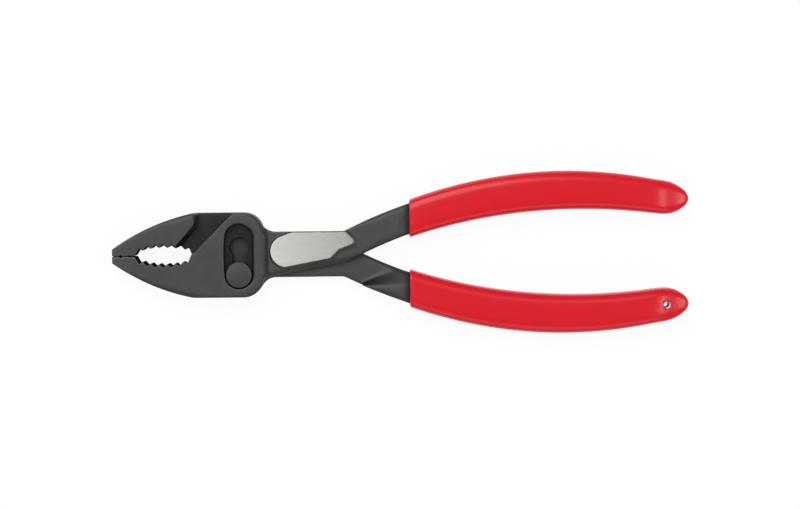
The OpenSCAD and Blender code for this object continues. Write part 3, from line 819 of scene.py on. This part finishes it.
def dipped_vinyl():
    """An even red with a half gloss, and painted shade in the bore, matt and near black."""
    material = bpy.data.materials.new("dipped red vinyl")
    material.use_nodes = True
    tree = material.node_tree
    tree.nodes.clear()
    place = add(tree, "ShaderNodeTexCoord").outputs["Object"]
    runs = add(tree, "ShaderNodeTexNoise", {
        "Vector": place, "Scale": 1 / (RUNS_MM * MM), "Detail": 2.0})
    pores = add(tree, "ShaderNodeTexNoise", {
        "Vector": place, "Scale": 1 / (PORES_MM * MM), "Detail": 2.0})
    colour = add(tree, "ShaderNodeMix", {
        "Factor": runs, 6: linear("#D21221"), 7: linear("#D61525")}, data_type="RGBA")
    rough = add(tree, "ShaderNodeMapRange", {
        "Value": pores, "To Min": VINYL_ROUGH[0], "To Max": VINYL_ROUGH[1]})

    # The bore, which gets painted shade: everything within the hole's radius of its axis
    out = add(tree, "ShaderNodeVectorMath", {0: place, 1: HOLE}, operation="SUBTRACT")
    out = add(tree, "ShaderNodeVectorMath", {0: out, 1: (1, 1, 0)}, operation="MULTIPLY")
    out = add(tree, "ShaderNodeVectorMath", {0: out}, operation="LENGTH").outputs["Value"]
    bore = add(tree, "ShaderNodeMath", {0: out, 1: BORE_SHARE * HOLE_R}, operation="LESS_THAN")
    colour = add(tree, "ShaderNodeMix", {
        "Factor": bore, 6: colour.outputs[2], 7: linear("#140404")}, data_type="RGBA")
    rough = add(tree, "ShaderNodeMix", {"Factor": bore, 2: rough, 3: 1.0}, data_type="FLOAT")
    height = add(tree, "ShaderNodeMix", {
        "Factor": PORE_SHARE, 2: runs, 3: pores}, data_type="FLOAT")
    bump = add(tree, "ShaderNodeBump", {
        "Strength": VINYL_BUMP, "Distance": VINYL_RELIEF, "Height": height})
    skin = add(tree, "ShaderNodeBsdfPrincipled", {
        "Base Color": colour.outputs[2], "Roughness": rough, "IOR": 1.5,
        "Specular IOR Level": 0.32, "Normal": bump})
    add(tree, "ShaderNodeOutputMaterial", {"Surface": skin})
    return material


vinyl = dipped_vinyl()
print("grips in", vinyl.name)

# %% [markdown]
# The tree gives the upper grip as a full body. The steel's own solid is cut out of it, which
# leaves the sleeve that the dip makes. Both bodies are closed, so an exact Boolean can do it. It
# leaves points on top of each other and faces with no area, which have to be taken out.

# %% Cuts
SLIVER = 0.002 * MM
BAR_SIDES = 48


def cut(piece, tool):
    """Cuts a closed tool out of a piece, whose material the cut takes, and removes the tool."""
    tool.data.materials.append(piece.data.materials[0])
    boolean = piece.modifiers.new("cut", "BOOLEAN")
    boolean.operation = "DIFFERENCE"
    boolean.solver = "EXACT"
    boolean.object = tool
    settle(piece)
    bpy.data.objects.remove(tool)


def without_slivers(mesh):
    """Joins points that the cuts left on top of each other, and takes out faces with no area."""
    work = bmesh.new()
    work.from_mesh(mesh)
    bmesh.ops.remove_doubles(work, verts=work.verts, dist=SLIVER)
    bmesh.ops.triangulate(work, faces=work.faces)
    bmesh.ops.dissolve_degenerate(work, dist=SLIVER, edges=work.edges)
    bmesh.ops.triangulate(work, faces=work.faces)
    work.to_mesh(mesh)
    work.free()


def round_bar(name, middle, radius, length):
    """An upright bar, to cut a round hole with."""
    mesh = bpy.data.meshes.new(name)
    work = bmesh.new()
    bmesh.ops.create_cone(work, cap_ends=True, segments=BAR_SIDES, radius1=radius, radius2=radius,
                          depth=length, matrix=Matrix.Translation(middle))
    work.to_mesh(mesh)
    work.free()
    bar = bpy.data.objects.new(name, mesh)
    scene.collection.objects.link(bar)
    return bar


print(f"slivers under {SLIVER / MM} mm are taken out")

# %% [markdown]
# The lower grip is the upper one turned over, because the two handles are alike. It has a round
# hole through its end for a cord.

# %% Two grips
BAR_LENGTH = 30 * MM
GRIP_SHARP = math.radians(50)
TURNED_OVER = Matrix.Translation((0, 0, GRIP["Thickness"])) @ Matrix.Rotation(math.pi, 4, "X")


def dipped_grip(name, steel_node, turned):
    """A grip around the steel of a CAD half, turned over for the lower handle."""
    piece = bpy.data.objects.new(name, bpy.data.meshes.new(name))
    scene.collection.objects.link(piece)
    nodes = piece.modifiers.new("dipped grip", "NODES")
    nodes.node_group = rule_of_grip
    for item in rule_of_grip.interface.items_tree:
        if item.in_out == "INPUT" and item.name in GRIP:
            nodes[item.identifier] = GRIP[item.name]
        if item.in_out == "INPUT" and item.name == "Vinyl":
            nodes[item.identifier] = vinyl
    settle(piece)
    if turned:
        piece.data.transform(TURNED_OVER)
    cut(piece, merged_copy(steel_node, name + "_core"))
    return piece


upper_grip = dipped_grip("upper_dipped_grip", "slotted_half", turned=False)
lower_grip = dipped_grip("lower_dipped_grip", "pinned_half", turned=True)
cut(lower_grip, round_bar("hole", HOLE, HOLE_R, BAR_LENGTH))
for piece, body, node in ((upper_grip, "front_half", "upper_grip"),
                          (lower_grip, "back_half", "lower_grip")):
    without_slivers(piece.data)
    piece.data.shade_smooth()
    piece.data.set_sharp_from_angle(angle=GRIP_SHARP)
    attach(piece, body)
    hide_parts(node)
    print(f"{piece.name}: {len(piece.data.polygons)} faces")
